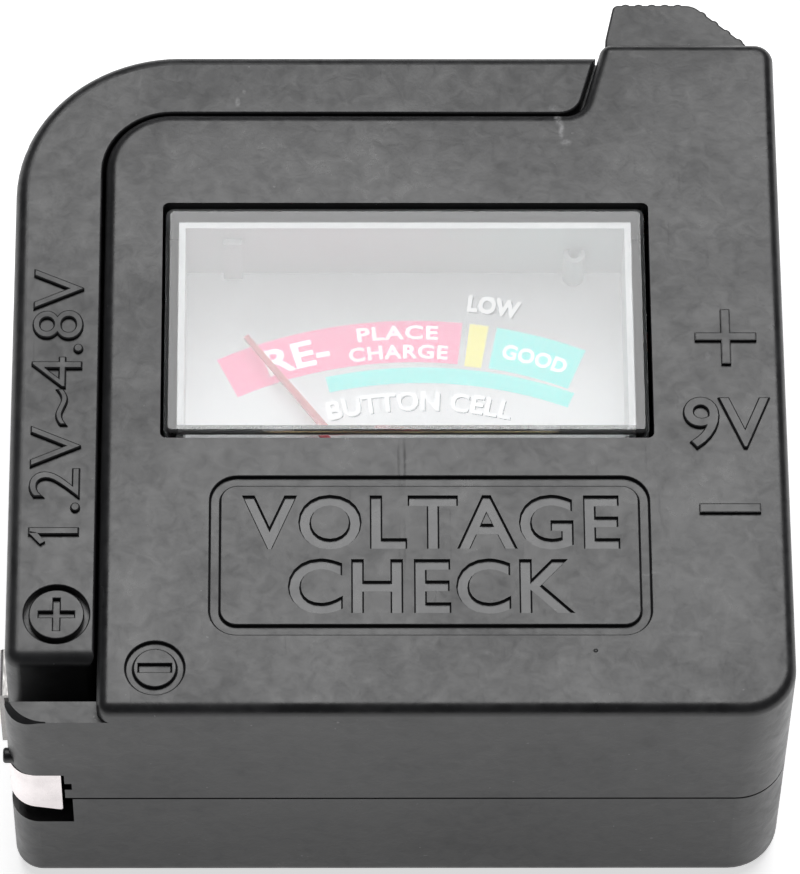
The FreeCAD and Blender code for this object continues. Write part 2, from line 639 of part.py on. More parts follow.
def make_meter_base():
    """Tray that holds the movement, with its bridge posts and dial posts."""
    x0, x1, _, y1 = COVER
    x0, x1, y1 = x0 + 0.1, x1 - 0.1, y1 - 0.05
    floor_z = METER_BACK_Z + METER_WALL
    tray = block(x0, x1, METER_LOW_Y, y1, METER_BACK_Z, METER_RIM_Z)
    tray = tray.cut(block(x0 + METER_WALL, x1 - METER_WALL, METER_LOW_Y + METER_WALL,
                          y1 - METER_WALL, floor_z, METER_RIM_Z + 1))
    adds = []
    for side in (-1, 1):
        adds.append(rod(PIVOT_X + side * BRIDGE_POST_OFFSET, PIVOT_Y, floor_z - 0.2, BRIDGE_LOW_Z, 1.3))
        adds.append(rod(PIVOT_X + side * DIAL_SCREW_OFFSET, DIAL_SCREW_Y, floor_z - 0.2, METER_RIM_Z, 1.4))
    middle = (YOKE_INNER + YOKE_OUTER) / 2
    for quarter in range(4):
        angle = math.radians(45 + 90 * quarter)
        adds.append(rod(PIVOT_X + middle * math.cos(angle), PIVOT_Y + middle * math.sin(angle),
                        floor_z - 0.2, 8.5, 0.9))
    adds.append(rod(PIVOT_X + 2.95, PIVOT_Y, floor_z - 0.2, 7.3, 0.3))
    tray = join([tray] + adds)
    for tag in terminal_tags():
        tray = tray.cut(tag)
    for side in (-1, 1):
        tray = tray.cut(rod(PIVOT_X + side * DIAL_SCREW_OFFSET, DIAL_SCREW_Y, 14.0, METER_RIM_Z + 1, 0.5))
        tray = tray.cut(rod(PIVOT_X + side * BRIDGE_POST_OFFSET, PIVOT_Y, 17.0, BRIDGE_LOW_Z + 1, 0.5))
    return tray


def make_meter_dial():
    """Printed scale plate, cut away over the movement."""
    x0, x1, _, y1 = COVER
    inset = COVER_WALL + 0.1
    plate = prism([(x0 + inset, DIAL_LOW_Y, 0.5), (x1 - inset, DIAL_LOW_Y, 0.5),
                   (x1 - inset, y1 - inset, 0.3), (x0 + inset, y1 - inset, 0.3)],
                  METER_RIM_Z, METER_RIM_Z + DIAL_THICKNESS)
    notch = rod(PIVOT_X, PIVOT_Y, METER_RIM_Z - 1, METER_RIM_Z + 2, 7.4)
    plate = plate.cut(notch)
    for side in (-1, 1):
        x = PIVOT_X + side * DIAL_SCREW_OFFSET
        plate = plate.cut(rod(x, DIAL_SCREW_Y, METER_RIM_Z - 1, METER_RIM_Z + 2, 0.55))
    return plate


def make_dial_frame():
    """White frame inside the cover, on the dial: left, upper and right walls and two clips."""
    x0, x1, _, y1 = COVER
    gap = COVER_WALL + 0.03
    thick = 0.5
    low_z = METER_RIM_Z + DIAL_THICKNESS + 0.02
    high_z = COVER_FRONT_Z - COVER_WALL - 0.1
    left, right, top = x0 + gap, x1 - gap, y1 - gap
    low_y = COVER[2] + gap
    walls = [block(left, left + thick, low_y, top, low_z, high_z),
             block(right - thick, right, low_y, top, low_z, high_z),
             block(left, right, top - thick, top, low_z, high_z)]
    clip_low_y = top - thick - 0.55
    left_clip = block(16.3, 17.8, clip_low_y, top, low_z, high_z - 1.6)
    post_x = 44.0
    post = ring(post_x, top - thick - 0.35, low_z, low_z + 3.6, 0.45, 0.85)
    return join(walls + [left_clip, post])


def small_screw(x, y, seat_z, length):
    head = round_edges_at(rod(x, y, seat_z, seat_z + 0.6, 1.0), seat_z + 0.6, 0.2)
    slot = block(x - 1.2, x + 1.2, y - 0.15, y + 0.15, seat_z + 0.3, seat_z + 0.7)
    return head.fuse(rod(x, y, seat_z - length, seat_z, 0.48)).cut(slot)


def make_dial_screws():
    seat = METER_RIM_Z + DIAL_THICKNESS
    return Part.makeCompound([
        small_screw(PIVOT_X + side * DIAL_SCREW_OFFSET, DIAL_SCREW_Y, seat, 4.0) for side in (-1, 1)])


def make_meter_bridge():
    """Brass bar over the movement; its pin holds the upper hairspring's outer end."""
    top = BRIDGE_LOW_Z + 1.0
    reach = BRIDGE_POST_OFFSET + 1.5
    bar = prism([(PIVOT_X - reach, PIVOT_Y - 1.5, 1.3), (PIVOT_X + reach, PIVOT_Y - 1.5, 1.3),
                 (PIVOT_X + reach, PIVOT_Y + 1.5, 1.3), (PIVOT_X - reach, PIVOT_Y + 1.5, 1.3)],
                BRIDGE_LOW_Z, top)
    bar = join([bar, rod(PIVOT_X + 2.95, PIVOT_Y, 18.9, BRIDGE_LOW_Z + 0.2, 0.3)])
    bar = bar.cut(rod(PIVOT_X, PIVOT_Y, BRIDGE_LOW_Z - 1, top + 1, 1.2))
    for side in (-1, 1):
        bar = bar.cut(rod(PIVOT_X + side * BRIDGE_POST_OFFSET, PIVOT_Y, BRIDGE_LOW_Z - 1, top + 1, 0.5))
    return bar


def make_bridge_screws():
    seat = BRIDGE_LOW_Z + 1.0
    return Part.makeCompound([
        small_screw(PIVOT_X + side * BRIDGE_POST_OFFSET, PIVOT_Y, seat, 4.0) for side in (-1, 1)])


def make_jewel_screws():
    """Cup bearings above and below the moving coil."""
    upper = rod(PIVOT_X, PIVOT_Y, 22.2, 24.2, 1.2).cut(rod(PIVOT_X, PIVOT_Y, 22.1, 22.7, JEWEL_BORE))
    slot = block(PIVOT_X - 1.3, PIVOT_X + 1.3, PIVOT_Y - 0.2, PIVOT_Y + 0.2, 23.8, 24.3)
    lower = rod(PIVOT_X, PIVOT_Y, METER_BACK_Z + METER_WALL, 6.9, 1.2)
    lower = lower.cut(rod(PIVOT_X, PIVOT_Y, 6.4, 7.0, JEWEL_BORE))
    return Part.makeCompound([upper.cut(slot), lower])


def core_bracket():
    reach = math.sqrt(YOKE_INNER ** 2 - 0.8 ** 2)
    return block(PIVOT_X - reach, PIVOT_X + reach, PIVOT_Y - 0.8, PIVOT_Y + 0.8, 12.0, 14.0)


def make_meter_magnet():
    return rod(PIVOT_X, PIVOT_Y, 9.5, 16.5, CORE_RADIUS).cut(core_bracket())


def make_meter_yoke():
    return ring(PIVOT_X, PIVOT_Y, 8.5, 17.5, YOKE_INNER, YOKE_OUTER)


def turned_to_rest(shape):
    """Turn a piece drawn along +Y to where the pointer rests, at the scale's left end."""
    turned = shape.copy()
    turned.rotate(Vector(PIVOT_X, PIVOT_Y, 0), UP, POINTER_REST_DEG)
    return turned


def make_meter_coil():
    """Rectangular winding on its former, round the core magnet."""
    half = 1.0
    wire = 1.2
    coil = block(PIVOT_X - half, PIVOT_X + half, PIVOT_Y - COIL_OUTER, PIVOT_Y + COIL_OUTER,
                 COIL_LOW_Z, COIL_TOP_Z)
    coil = coil.cut(block(PIVOT_X - half, PIVOT_X + half, PIVOT_Y - COIL_INNER, PIVOT_Y + COIL_INNER,
                          COIL_LOW_Z + wire, COIL_TOP_Z - wire))
    return turned_to_rest(coil)


def make_meter_staff():
    """Upper and lower half staffs, each with a collar for its hairspring."""
    collar = 0.7
    upper = join([rod(PIVOT_X, PIVOT_Y, COIL_TOP_Z, 20.2, collar),
                  rod(PIVOT_X, PIVOT_Y, 20.0, 22.6, PIVOT_RADIUS)])
    lower = join([rod(PIVOT_X, PIVOT_Y, 6.97, COIL_LOW_Z, collar),
                  rod(PIVOT_X, PIVOT_Y, 6.5, 7.1, PIVOT_RADIUS)])
    return Part.makeCompound([upper, lower])


def make_meter_pointer():
    """Flat tapered needle with its hub and tail."""
    needle = outline([
        (PIVOT_X - 0.4, PIVOT_Y - 5.2, 0), (PIVOT_X + 0.4, PIVOT_Y - 5.2, 0),
        (PIVOT_X + 0.42, PIVOT_Y, 0), (PIVOT_X + 0.2, PIVOT_Y + POINTER_LENGTH, 0),
        (PIVOT_X - 0.2, PIVOT_Y + POINTER_LENGTH, 0), (PIVOT_X - 0.42, PIVOT_Y, 0)])
    solid = join([raise_face(needle, POINTER_Z, POINTER_Z + 0.3),
                  rod(PIVOT_X, PIVOT_Y, 20.2, POINTER_Z + 0.6, 0.95)])
    return turned_to_rest(solid.cut(rod(PIVOT_X, PIVOT_Y, 20, 22, PIVOT_RADIUS)))


def make_balance_weights():
    """Two small nuts on the pointer's tail."""
    nuts = []
    for back in (3.4, 4.7):
        nut = block(PIVOT_X - 0.9, PIVOT_X + 0.9, PIVOT_Y - back - 0.45, PIVOT_Y - back + 0.45,
                    POINTER_Z - 0.3, POINTER_Z + 0.6)
        hole = block(PIVOT_X - 0.415, PIVOT_X + 0.415, PIVOT_Y - 6, PIVOT_Y,
                     POINTER_Z, POINTER_Z + 0.3)
        nuts.append(turned_to_rest(nut.cut(hole)))
    return Part.makeCompound(nuts)


def spiral_curve(inner, outer, turns, offset):
    steps = int(turns * 16)
    points = []
    for step in range(steps + 1):
        share = step / steps
        radius = inner + (outer - inner) * share + offset
        angle = 2 * math.pi * turns * (share - 1)
        points.append(Vector(PIVOT_X + radius * math.cos(angle), PIVOT_Y + radius * math.sin(angle), 0))
    curve = Part.BSplineCurve()
    curve.interpolate(points)
    return curve.toShape()


def make_hairspring(low_z):
    """Flat spiral from the staff's collar out to its fixed pin."""
    inner, outer, turns, half = 0.82, 2.57, 4.0, 0.06
    near = spiral_curve(inner, outer, turns, -half)
    far = spiral_curve(inner, outer, turns, half)
    caps = []
    for index in (0, 1):
        start = near.Vertexes[index].Point
        stop = far.Vertexes[index].Point
        caps.append(Part.LineSegment(start, stop).toShape())
    face = Part.Face(Part.Wire(Part.__sortEdges__([near, far] + caps)))
    return raise_face(face, low_z, low_z + 0.3)


def terminal_tags():
    tags = []
    for x in (20.0, 41.0):
        tag = prism([(x, 5.6, 0.8), (x + 2.6, 5.6, 0.8), (x + 2.6, 10.6, 0), (x, 10.6, 0)], 8.0, 8.5)
        tags.append(tag.cut(rod(x + 1.3, 6.9, 7, 10, 0.55)))
    return tags


def make_resistor(left_x, length, radius):
    """Axial resistor along X with domed end bands and a straight lead at each end."""
    along = Vector(1, 0, 0)
    body = Part.makeCylinder(radius, length, Vector(left_x, RESISTOR_Y, RESISTOR_Z), along)
    pieces = [body]
    for end in (left_x, left_x + length - 1.5):
        band = Part.makeCylinder(radius + 0.2, 1.5, Vector(end, RESISTOR_Y, RESISTOR_Z), along)
        pieces.append(band.makeFillet(0.4, band.Edges[:1] + band.Edges[2:]))
    wire = Part.makeCylinder(0.3, length + 2 * RESISTOR_WIRE,
                             Vector(left_x - RESISTOR_WIRE, RESISTOR_Y, RESISTOR_Z), along)
    pieces.append(wire)
    return join(pieces)


# Insulated leads, as points along each route
LEADS = {
    "lead_cell_negative": [
        (3.2, 10.0, 13.0), (3.4, 11.6, 9.0), (5.2, 10.6, 5.0), (9.0, 7.9, 3.4),
        (13.5, 7.7, 4.2), (17.6, 6.8, 6.4), (20.0, 6.6, 7.4)],
    "lead_pickup": [
        (13.0, 52.2, 13.6), (13.4, 51.6, 10.8), (14.2, 50.2, 8.8), (14.0, 48.6, 7.4),
        (13.4, 47.9, 6.4)],
    "lead_snap_positive": [
        (SERIES_END + 0.2, 47.8, 6.0), (45.0, 48.0, 5.0), (49.0, 48.6, 4.0), (51.6, 45.0, 4.2),
        (52.6, 40.0, 5.5), (54.0, 36.0, 8.5), (56.8, 33.5, 11.0)],
    "lead_snap_negative": [
        (56.8, 16.6, 11.0), (54.2, 13.6, 8.5), (52.6, 10.6, 6.0), (49.6, 7.3, 5.0),
        (46.0, 6.6, 5.8), (43.6, 6.6, 7.4)],
    "arm_lead": [
        (2.4, 9.5, 22.5), (3.4, 12.5, 22.0), (3.6, 22.0, 21.6), (3.5, 34.0, 21.6), (3.6, 43.0, 21.6),
        (3.9, 48.5, 21.6), (5.6, 52.9, 21.8), (9.8, 55.8, 22.0), (17.0, 56.4, 22.0), (29.0, 56.4, 22.0),
        (40.0, 56.3, 22.0), (48.0, 55.4, 21.8)],
}


def main():
    os.makedirs(PARTS_FOLDER, exist_ok=True)
    save("front_shell", make_front_shell())
    save("rear_shell", make_rear_shell())
    save("case_screws", make_case_screws())
    save("arm_cover", make_arm_cover())
    save("arm_base", make_arm_base())
    save("arm_contact", make_arm_contact())
    save("slider_shoe", make_slider_shoe())
    save("shoe_screw", make_shoe_screw())
    save("wiper_spring", make_wiper_spring())
    save("pickup_strip", make_pickup_strip())
    save("cell_negative_contact", make_cell_negative())
    save("snap_contact_positive", make_snap_contact(1))
    save("snap_contact_negative", make_snap_contact(-1))
    save("meter_cover", make_meter_cover())
    save("meter_base", make_meter_base())
    save("meter_dial", make_meter_dial())
    save("dial_frame", make_dial_frame())
    save("dial_screws", make_dial_screws())
    save("meter_bridge", make_meter_bridge())
    save("bridge_screws", make_bridge_screws())
    save("jewel_screws", make_jewel_screws())
    save("core_bracket", core_bracket())
    save("meter_magnet", make_meter_magnet())
    save("meter_yoke", make_meter_yoke())
    save("meter_coil", make_meter_coil())
    save("meter_staff", make_meter_staff())
    save("meter_pointer", make_meter_pointer())
    save("balance_weights", make_balance_weights())
    save("hairspring_upper", make_hairspring(18.95))
    save("hairspring_lower", make_hairspring(7.0))
    save("meter_terminals", Part.makeCompound(terminal_tags()))
    save("load_resistor", make_resistor(LOAD_LEFT, LOAD_LENGTH, 1.3))
    save("series_resistor", make_resistor(SERIES_LEFT, SERIES_LENGTH, 1.0))
    for name, points in LEADS.items():
        save(name, lead(points, LEAD_RADIUS))


main()
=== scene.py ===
import json
import math
import bpy
import bmesh
from mathutils import Matrix, Vector


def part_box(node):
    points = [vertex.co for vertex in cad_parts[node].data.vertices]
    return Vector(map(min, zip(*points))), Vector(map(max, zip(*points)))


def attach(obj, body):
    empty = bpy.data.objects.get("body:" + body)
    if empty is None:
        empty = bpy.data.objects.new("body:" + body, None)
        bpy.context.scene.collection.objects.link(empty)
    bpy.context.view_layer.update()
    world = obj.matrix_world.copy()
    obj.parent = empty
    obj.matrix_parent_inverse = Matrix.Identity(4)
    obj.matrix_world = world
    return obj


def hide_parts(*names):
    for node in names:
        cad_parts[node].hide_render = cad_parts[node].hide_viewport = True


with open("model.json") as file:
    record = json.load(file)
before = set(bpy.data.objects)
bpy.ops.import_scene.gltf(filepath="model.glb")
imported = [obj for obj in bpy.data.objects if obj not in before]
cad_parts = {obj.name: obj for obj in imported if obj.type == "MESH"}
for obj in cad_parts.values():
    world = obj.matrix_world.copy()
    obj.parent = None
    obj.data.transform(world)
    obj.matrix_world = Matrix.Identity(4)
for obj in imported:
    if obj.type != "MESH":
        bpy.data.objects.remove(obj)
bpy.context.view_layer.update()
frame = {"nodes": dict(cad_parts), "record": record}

MM = 0.001
CORNER = Vector((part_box("rear_shell")[0].x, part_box("rear_shell")[0].y, 0.0))
DIAL_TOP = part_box("meter_dial")[1].z


def at(x, y, z):
    """A point given in millimetres from the case's lower left back corner."""
    return CORNER + Vector((x, y, z)) * MM


# ---------------------------------------------------------------- shader helpers

def new_material(name, color, roughness, metallic=0.0):
    mat = bpy.data.materials.new(name)
    mat.use_nodes = True
    bsdf = mat.node_tree.nodes["Principled BSDF"]
    bsdf.inputs["Base Color"].default_value = (*color, 1.0)
    bsdf.inputs["Roughness"].default_value = roughness
    bsdf.inputs["Metallic"].default_value = metallic
    return mat, mat.node_tree, bsdf


def object_coords(tree, scale=(1, 1, 1), rotation=(0, 0, 0)):
    """The piece's own coordinates, stretched and turned for streaks."""
    coords = tree.nodes.new("ShaderNodeTexCoord")
    mapping = tree.nodes.new("ShaderNodeMapping")
    mapping.inputs["Scale"].default_value = scale
    mapping.inputs["Rotation"].default_value = rotation
    tree.links.new(coords.outputs["Object"], mapping.inputs["Vector"])
    return mapping.outputs["Vector"]


def noise(tree, vector, size_mm, detail=3.0, roughness=0.5, distortion=0.0):
    """Noise whose features are about size_mm across."""
    node = tree.nodes.new("ShaderNodeTexNoise")
    node.inputs["Scale"].default_value = 1.0 / (size_mm * MM)
    node.inputs["Detail"].default_value = detail
    node.inputs["Roughness"].default_value = roughness
    node.inputs["Distortion"].default_value = distortion
    tree.links.new(vector, node.inputs["Vector"])
    return node.outputs["Fac"]


def remap(tree, value, low, high, to_low, to_high, smooth=False):
    node = tree.nodes.new("ShaderNodeMapRange")
    node.interpolation_type = "SMOOTHSTEP" if smooth else "LINEAR"
    node.inputs["From Min"].default_value = low
    node.inputs["From Max"].default_value = high
    node.inputs["To Min"].default_value = to_low
    node.inputs["To Max"].default_value = to_high
    tree.links.new(value, node.inputs["Value"])
    return node.outputs["Result"]


def math_node(tree, operation, first, second):
    node = tree.nodes.new("ShaderNodeMath")
    node.operation = operation
    for index, value in enumerate((first, second)):
        if isinstance(value, (int, float)):
            node.inputs[index].default_value = value
        else:
            tree.links.new(value, node.inputs[index])
    return node.outputs["Value"]


def mix_color(tree, share, first, second):
    node = tree.nodes.new("ShaderNodeMix")
    node.data_type = "RGBA"
    for socket, value in ((node.inputs["A"], first), (node.inputs["B"], second)):
        if isinstance(value, tuple):
            socket.default_value = (*value, 1.0)
        else:
            tree.links.new(value, socket)
    tree.links.new(share, node.inputs["Factor"])
    return node.outputs["Result"]


def bump(tree, bsdf, layers):
    """Stack of (height, strength, depth in mm) bumps feeding the shader's normal."""
    normal = None
    for height, strength, depth_mm in layers:
        node = tree.nodes.new("ShaderNodeBump")
        node.inputs["Strength"].default_value = strength
        node.inputs["Distance"].default_value = depth_mm * MM
        tree.links.new(height, node.inputs["Height"])
        if normal is not None:
            tree.links.new(normal, node.inputs["Normal"])
        normal = node.outputs["Normal"]
    tree.links.new(normal, bsdf.inputs["Normal"])


# ---------------------------------------------------------------- materials

# A rub mark fades out this far behind the front, in mm, so that none shows on the back
SPOT_DEPTH = 4.0
# Share of a mark's half-size that has its full strength
SPOT_CORE = 0.2


def spot(tree, centre, half_x, half_y):
    """Soft-edged patch on the front, SPOT_DEPTH deep: 1 in its middle, 0 outside."""
    scale = (1.0 / (half_x * MM), 1.0 / (half_y * MM), 1.0 / (SPOT_DEPTH * MM))
    mapping = tree.nodes.new("ShaderNodeMapping")
    mapping.inputs["Scale"].default_value = scale
    mapping.inputs["Location"].default_value = [-c * k for c, k in zip(centre, scale)]
    coords = tree.nodes.new("ShaderNodeTexCoord")
    tree.links.new(coords.outputs["Object"], mapping.inputs["Vector"])
    length = tree.nodes.new("ShaderNodeVectorMath")
    length.operation = "LENGTH"
    tree.links.new(mapping.outputs["Vector"], length.inputs[0])
    return remap(tree, length.outputs["Value"], SPOT_CORE, 1.0, 1.0, 0.0, True)


def black_abs(name, color, roughness, marks=(), dents=()):
    """Satin black moulded plastic: fine grain, cloudy gloss, faint scratches, dust and rub marks.

    marks holds (centre, half_x, half_y, color, amount) patches of rubbed plastic, and dents holds
    (centre, half_x, half_y, depth in mm) shallow hollows such as a mould's flow line.
    """
    mat, tree, bsdf = new_material(name, color, roughness)
    bsdf.inputs["IOR"].default_value = 1.53
    vector = object_coords(tree)
    grain = noise(tree, vector, 0.28, 4.0, 0.6)
    mottle = noise(tree, vector, 1.3, 5.0, 0.65, 0.6)
    clouds = noise(tree, vector, 6.0, 4.0, 0.55, 0.4)
    patches = noise(tree, vector, 22.0, 2.0, 0.5)
    streaks = noise(tree, object_coords(tree, (1.0, 0.06, 1.0), (0, 0, 0.35)), 0.35, 2.0)
    scratch = remap(tree, streaks, 0.69, 0.76, 0.0, 1.0)
    specks = noise(tree, vector, 0.5, 1.0)
    dust = remap(tree, specks, 0.79, 0.82, 0.0, 1.0)
    blend = math_node(tree, "ADD", math_node(tree, "MULTIPLY", clouds, 0.55),
                      math_node(tree, "MULTIPLY", mottle, 0.45))
    tone = remap(tree, blend, 0.38, 0.62, 0.0, 1.0, True)
    dark = tuple(c * 0.8 for c in color)
    light = tuple(c * 1.25 for c in color)
    body = mix_color(tree, tone, dark, light)
    scuffed = mix_color(tree, math_node(tree, "MULTIPLY", scratch, 0.25), body, (0.10, 0.10, 0.105))
    surface = mix_color(tree, math_node(tree, "MULTIPLY", dust, 0.4), scuffed, (0.2, 0.2, 0.205))
    broken = noise(tree, vector, 0.45, 3.0, 0.7)
    for centre, half_x, half_y, mark_color, amount in marks:
        rubbed = math_node(tree, "MULTIPLY", spot(tree, centre, half_x, half_y),
                           remap(tree, broken, 0.38, 0.62, 0.25 * amount, amount))
        surface = mix_color(tree, rubbed, surface, mark_color)
    tree.links.new(surface, bsdf.inputs["Base Color"])
    cloudy = remap(tree, clouds, 0.3, 0.7, roughness - 0.04, roughness + 0.06)
    mottled = math_node(tree, "ADD", cloudy, remap(tree, mottle, 0.3, 0.7, -0.07, 0.07))
    patchy = math_node(tree, "ADD", mottled, remap(tree, patches, 0.3, 0.7, -0.04, 0.04))
    rough = math_node(tree, "ADD", patchy, math_node(tree, "MULTIPLY", scratch, 0.08))
    tree.links.new(rough, bsdf.inputs["Roughness"])
    layers = [(clouds, 0.4, 0.10), (mottle, 0.45, 0.05), (grain, 0.35, 0.012), (scratch, 0.2, 0.01)]
    for centre, half_x, half_y, depth_mm in dents:
        hollow = remap(tree, spot(tree, centre, half_x, half_y), 0.0, 1.0, 1.0, 0.0)
        layers.append((hollow, 1.0, depth_mm))
    bump(tree, bsdf, layers)
    return mat


def metal(name, color, roughness, brushed=(1.0, 1.0, 1.0)):
    """Plated or drawn metal with a fine directional finish and slight tarnish."""
    mat, tree, bsdf = new_material(name, color, roughness, 1.0)
    vector = object_coords(tree, brushed)
    lines = noise(tree, vector, 0.12, 3.0, 0.6)
    stains = noise(tree, object_coords(tree), 2.2, 4.0, 0.6)
    dull = remap(tree, stains, 0.35, 0.75, 0.0, 0.5, True)
    tree.links.new(mix_color(tree, dull, color, tuple(c * 0.72 for c in color)), bsdf.inputs["Base Color"])
    tree.links.new(remap(tree, lines, 0.3, 0.7, roughness * 0.75, roughness * 1.35),
                   bsdf.inputs["Roughness"])
    bump(tree, bsdf, [(lines, 0.25, 0.006)])
    return mat


def plastic(name, color, roughness, grain_mm=0.3, grain_strength=0.2):
    """Moulded plastic with slightly uneven colour and gloss, and a fine grain."""
    mat, tree, bsdf = new_material(name, color, roughness)
    vector = object_coords(tree)
    clouds = noise(tree, vector, 3.0, 3.0)
    fine = noise(tree, vector, grain_mm, 3.0)
    body = mix_color(tree, remap(tree, clouds, 0.3, 0.7, 0.0, 1.0), tuple(c * 0.9 for c in color), color)
    tree.links.new(body, bsdf.inputs["Base Color"])
    tree.links.new(remap(tree, fine, 0.3, 0.7, roughness - 0.06, roughness + 0.06),
                   bsdf.inputs["Roughness"])
    bump(tree, bsdf, [(fine, grain_strength, 0.01)])
    return mat


# Light of their own that the card and the floor give, standing in for a very bright studio
CARD_GLOW = 0.10
FLOOR_GLOW = 0.65


def dial_card(name, upper, lower):
    """Matt printed card with painted shade and light: darker at the top, where the window frame's upper
    wall shades it, and paler towards its lower edge; with a fine paper-like grain and a faint glow.
    """
    mat, tree, bsdf = new_material(name, upper, 0.5)
    bsdf.inputs["Emission Color"].default_value = (1.0, 1.0, 1.0, 1.0)
    bsdf.inputs["Emission Strength"].default_value = CARD_GLOW
    coords = tree.nodes.new("ShaderNodeTexCoord")
    split = tree.nodes.new("ShaderNodeSeparateXYZ")
    tree.links.new(coords.outputs["Object"], split.inputs["Vector"])
    # Painted shade and light: the card darkens towards the top, in the frame wall's shadow, and pales
    # towards its lower edge
    share = remap(tree, split.outputs["Y"], at(0, 40.5, 0).y, at(0, 28.5, 0).y, 0.0, 1.0, True)
    grain = remap(tree, noise(tree, object_coords(tree), 0.9, 4.0, 0.6), 0.3, 0.7, -0.06, 0.06)
    tree.links.new(mix_color(tree, math_node(tree, "ADD", share, grain), upper, lower),
                   bsdf.inputs["Base Color"])
    bump(tree, bsdf, [(noise(tree, object_coords(tree), 0.25, 3.0), 0.04, 0.01)])
    return mat


def clear_plastic(name):
    """Clear polystyrene with a light haze and hairline scratches."""
    mat, tree, bsdf = new_material(name, (0.97, 0.98, 0.985), 0.04)
    bsdf.inputs["Transmission Weight"].default_value = 0.96
    bsdf.inputs["IOR"].default_value = 1.56
    vector = object_coords(tree, (1.0, 0.05, 1.0), (0, 0, 0.6))
    hair = remap(tree, noise(tree, vector, 0.25, 2.0), 0.72, 0.78, 0.0, 1.0)
    haze = noise(tree, object_coords(tree), 7.0, 3.0)
    smear = remap(tree, haze, 0.35, 0.75, 0.02, 0.07)
    tree.links.new(math_node(tree, "ADD", smear, math_node(tree, "MULTIPLY", hair, 0.15)),
                   bsdf.inputs["Roughness"])
    bump(tree, bsdf, [(hair, 0.08, 0.006)])
    return mat


def print_ink(name, color, glow):
    """Printed ink, a little uneven; glow is faint light of its own, standing in for a bright window."""
    mat, tree, bsdf = new_material(name, color, 0.5)
    bsdf.inputs["Emission Color"].default_value = (*color, 1.0)
    bsdf.inputs["Emission Strength"].default_value = glow
    vector = object_coords(tree)
    dots = noise(tree, vector, 0.25, 2.0)
    cover = remap(tree, dots, 0.3, 0.7, 0.0, 1.0)
    tree.links.new(mix_color(tree, cover, tuple(min(1.0, c * 0.88 + 0.03) for c in color), color),
                   bsdf.inputs["Base Color"])
    return mat


def banded_resistor(name, body, bands):
    """Lacquered resistor body with rings of colour along X, repeated for each resistor."""
    mat, tree, bsdf = new_material(name, body, 0.35)
    coords = tree.nodes.new("ShaderNodeTexCoord")
    split = tree.nodes.new("ShaderNodeSeparateXYZ")
    tree.links.new(coords.outputs["Object"], split.inputs["Vector"])
    result = mix_color(tree, remap(tree, noise(tree, coords.outputs["Object"], 1.0), 0.3, 0.7, 0.0, 1.0),
                       tuple(c * 0.85 for c in body), body)
    for x, width, color in bands:
        distance = math_node(tree, "ABSOLUTE", math_node(tree, "SUBTRACT", split.outputs["X"], x), 0.0)
        inside = remap(tree, distance, width * 0.5, width * 0.55, 1.0, 0.0)
        result = mix_color(tree, inside, result, color)
    tree.links.new(result, bsdf.inputs["Base Color"])
    return mat


def winding(name):
    """Fine copper bands across X, like the turns of a wound coil."""
    mat, tree, bsdf = new_material(name, (0.45, 0.16, 0.06), 0.3, 0.9)
    wave = tree.nodes.new("ShaderNodeTexWave")
    wave.bands_direction = "X"
    wave.inputs["Scale"].default_value = 2400.0
    tree.links.new(object_coords(tree), wave.inputs["Vector"])
    tree.links.new(mix_color(tree, wave.outputs["Fac"], (0.3, 0.09, 0.03), (0.6, 0.24, 0.1)),
                   bsdf.inputs["Base Color"])
    bump(tree, bsdf, [(wave.outputs["Fac"], 0.6, 0.04)])
    return mat


RING_PITCH = 1.2
RING_WIDTH = 0.6


def resistor_material():
    """Both resistors' rings in one material, each set centred on its own body."""
    bands = []
    for node, colors in (("load_resistor", ((0.3, 0.12, 0.02), (0.02, 0.02, 0.02), (0.02, 0.02, 0.02))),
                         ("series_resistor", ((0.55, 0.2, 0.02), (0.3, 0.02, 0.3), (0.3, 0.12, 0.02)))):
        low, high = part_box(node)
        middle = (low.x + high.x) / 2
        for index, color in enumerate(colors):
            bands.append((middle + (index - 1) * RING_PITCH * MM, RING_WIDTH * MM, color))
    return banded_resistor("resistor_body", (0.62, 0.47, 0.27), bands)


PALE_RUB = (0.16, 0.16, 0.165)
BRIGHT_RUB = (0.34, 0.34, 0.345)
# Rubbed patches: middle, half width, half height, colour and amount
CASE_MARKS = (
    (at(42.75, 52.9, 27.7), 0.40, 0.9, BRIGHT_RUB, 0.8),
    (at(43.0, 51.7, 27.7), 0.32, 1.2, BRIGHT_RUB, 0.6),
    (at(43.35, 50.5, 27.7), 0.6, 0.4, BRIGHT_RUB, 0.6),
    (at(49.0, 11.9, 27.7), 1.1, 0.14, PALE_RUB, 0.5),
    (at(51.6, 6.6, 27.7), 1.6, 0.35, PALE_RUB, 0.3),
    (at(54.0, 31.0, 27.7), 0.35, 0.5, PALE_RUB, 0.6),
    (at(36.5, 5.0, 27.7), 0.3, 0.25, PALE_RUB, 0.5),
)
